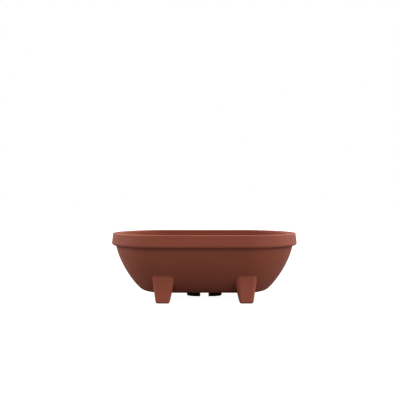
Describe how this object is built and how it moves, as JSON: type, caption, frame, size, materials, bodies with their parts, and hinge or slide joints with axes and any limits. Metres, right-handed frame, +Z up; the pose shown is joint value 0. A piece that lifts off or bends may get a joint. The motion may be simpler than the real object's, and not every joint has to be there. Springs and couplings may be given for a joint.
{
  "type": "bonsai pot",
  "caption": "Oblong matte bonsai pot with a deep overhanging rim collar, a tapering bowl, block feet and a lift-out drain insert with a screen.",
  "frame": {"origin": "on the surface that the feet stand on, below the middle of the drain hole", "axes": "+Z up, +X along the pot's long side, +Y from the front to the back"},
  "size_m": [0.2492, 0.1744, 0.0872],
  "materials": {
    "brown_plastic": "matte, fine moulded texture",
    "black_plastic": "matte"
  },
  "bodies": {
    "pot": {"pot_shell": "brown_plastic", "rim_collar": "brown_plastic", "foot_front_left": "brown_plastic", "foot_front_right": "brown_plastic", "foot_rear_left": "brown_plastic", "foot_rear_right": "brown_plastic"},
    "insert": {"drain_insert": "black_plastic"},
    "screen": {"drain_screen": "black_plastic"}
  },
  "joints": [
    {"name": "insert_lift", "type": "slide", "parent": "pot", "child": "insert", "axis": [0, 0, 1], "range_m": [0, 0.085]},
    {"name": "screen_lift", "type": "slide", "parent": "insert", "child": "screen", "axis": [0, 0, 1], "range_m": [0, 0.075]}
  ]
}
